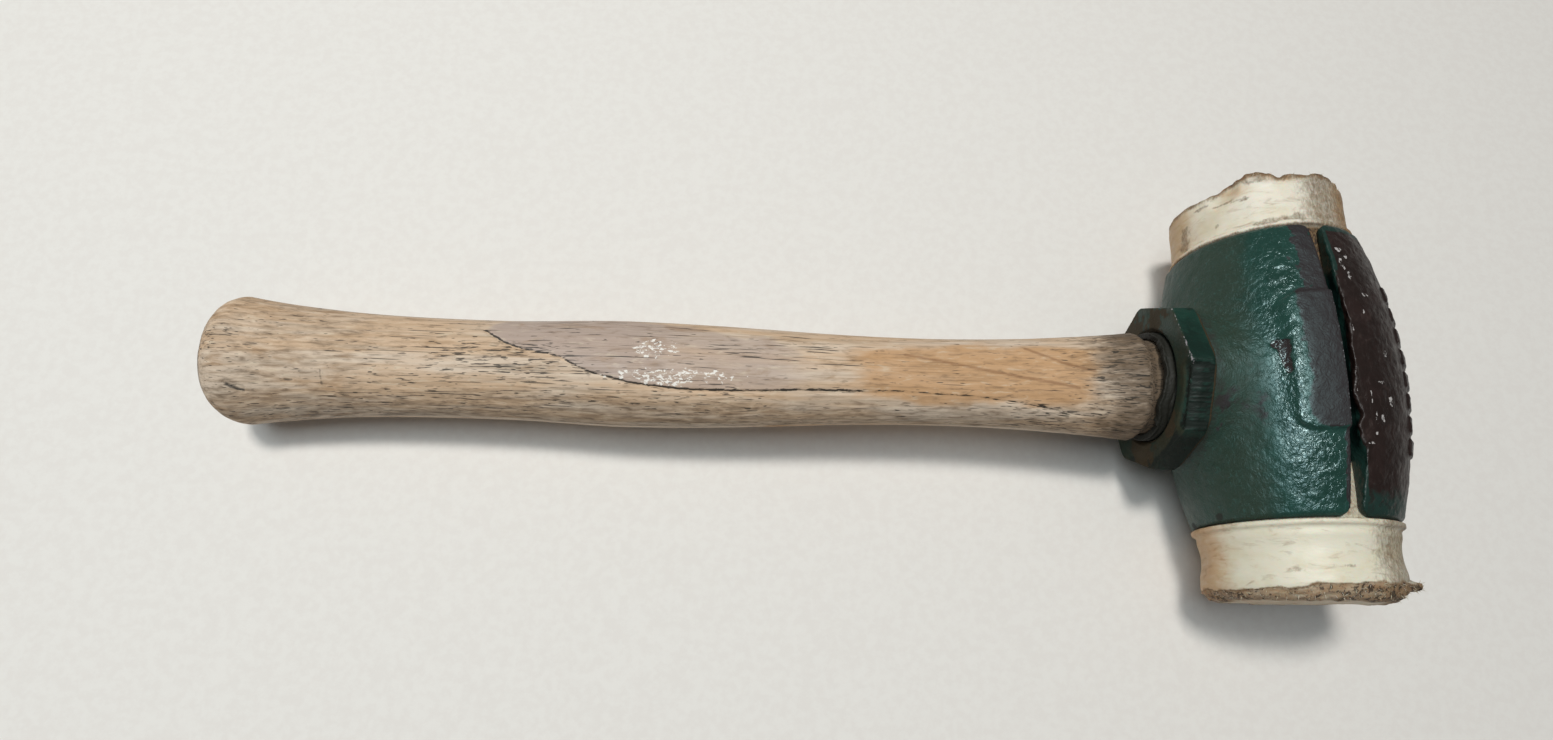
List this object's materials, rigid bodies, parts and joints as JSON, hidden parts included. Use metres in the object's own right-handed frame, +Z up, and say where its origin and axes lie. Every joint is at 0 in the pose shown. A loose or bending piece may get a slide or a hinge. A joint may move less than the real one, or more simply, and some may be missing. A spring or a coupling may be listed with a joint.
{
  "type": "split head mallet",
  "caption": "Soft-faced mallet lying down: a split iron head drawn together by a nut grips two nylon faces on a wedged wooden handle.",
  "frame": {"origin": "on the surface that the mallet lies on, under the middle of its bounding box", "axes": "+X along the handle from the butt to the crown, level; +Y along the head to the upper face; +Z up. The handle's own line tilts down 2.79 degrees to the butt, because the mallet rests on the belly of its head and on its butt."},
  "size_m": [0.3588, 0.127, 0.065],
  "materials": {
    "handle_wood": "weathered",
    "worn_iron": "worn dark paint",
    "green_paint": "gloss hammered enamel",
    "nylon": "dirty, frayed",
    "wedge_wood": "sawn",
    "wedge_steel": "dull"
  },
  "bodies": {
    "front": {"front_half": "worn_iron", "handle": "handle_wood", "wood_wedge": "wedge_wood", "steel_wedge_a": "wedge_steel", "steel_wedge_b": "wedge_steel"},
    "rear": {"rear_half": "green_paint"},
    "nut": {"clamp_nut": "green_paint"},
    "upper": {"upper_face": "nylon"},
    "lower": {"lower_face": "nylon"}
  },
  "joints": [
    {"name": "rear_slide", "type": "slide", "parent": "front", "child": "rear", "axis": [-0.9988, 0, -0.0486], "range_m": [0, 0.003]},
    {"name": "nut_turn", "type": "hinge", "parent": "rear", "child": "nut", "pos_m": [0.14769, 0.002, 0.0321], "axis": [-0.9988, 0, -0.0486], "range_deg": [0, 540]},
    {"name": "upper_face_slide", "type": "slide", "parent": "front", "child": "upper", "axis": [0, 1, 0], "range_m": [0, 0.015]},
    {"name": "lower_face_slide", "type": "slide", "parent": "front", "child": "lower", "axis": [0, -1, 0], "range_m": [0, 0.015]}
  ],
  "couplings": [
    {"joint": "nut_turn", "follows": "rear_slide", "rad_per_m": 3141.6}
  ]
}
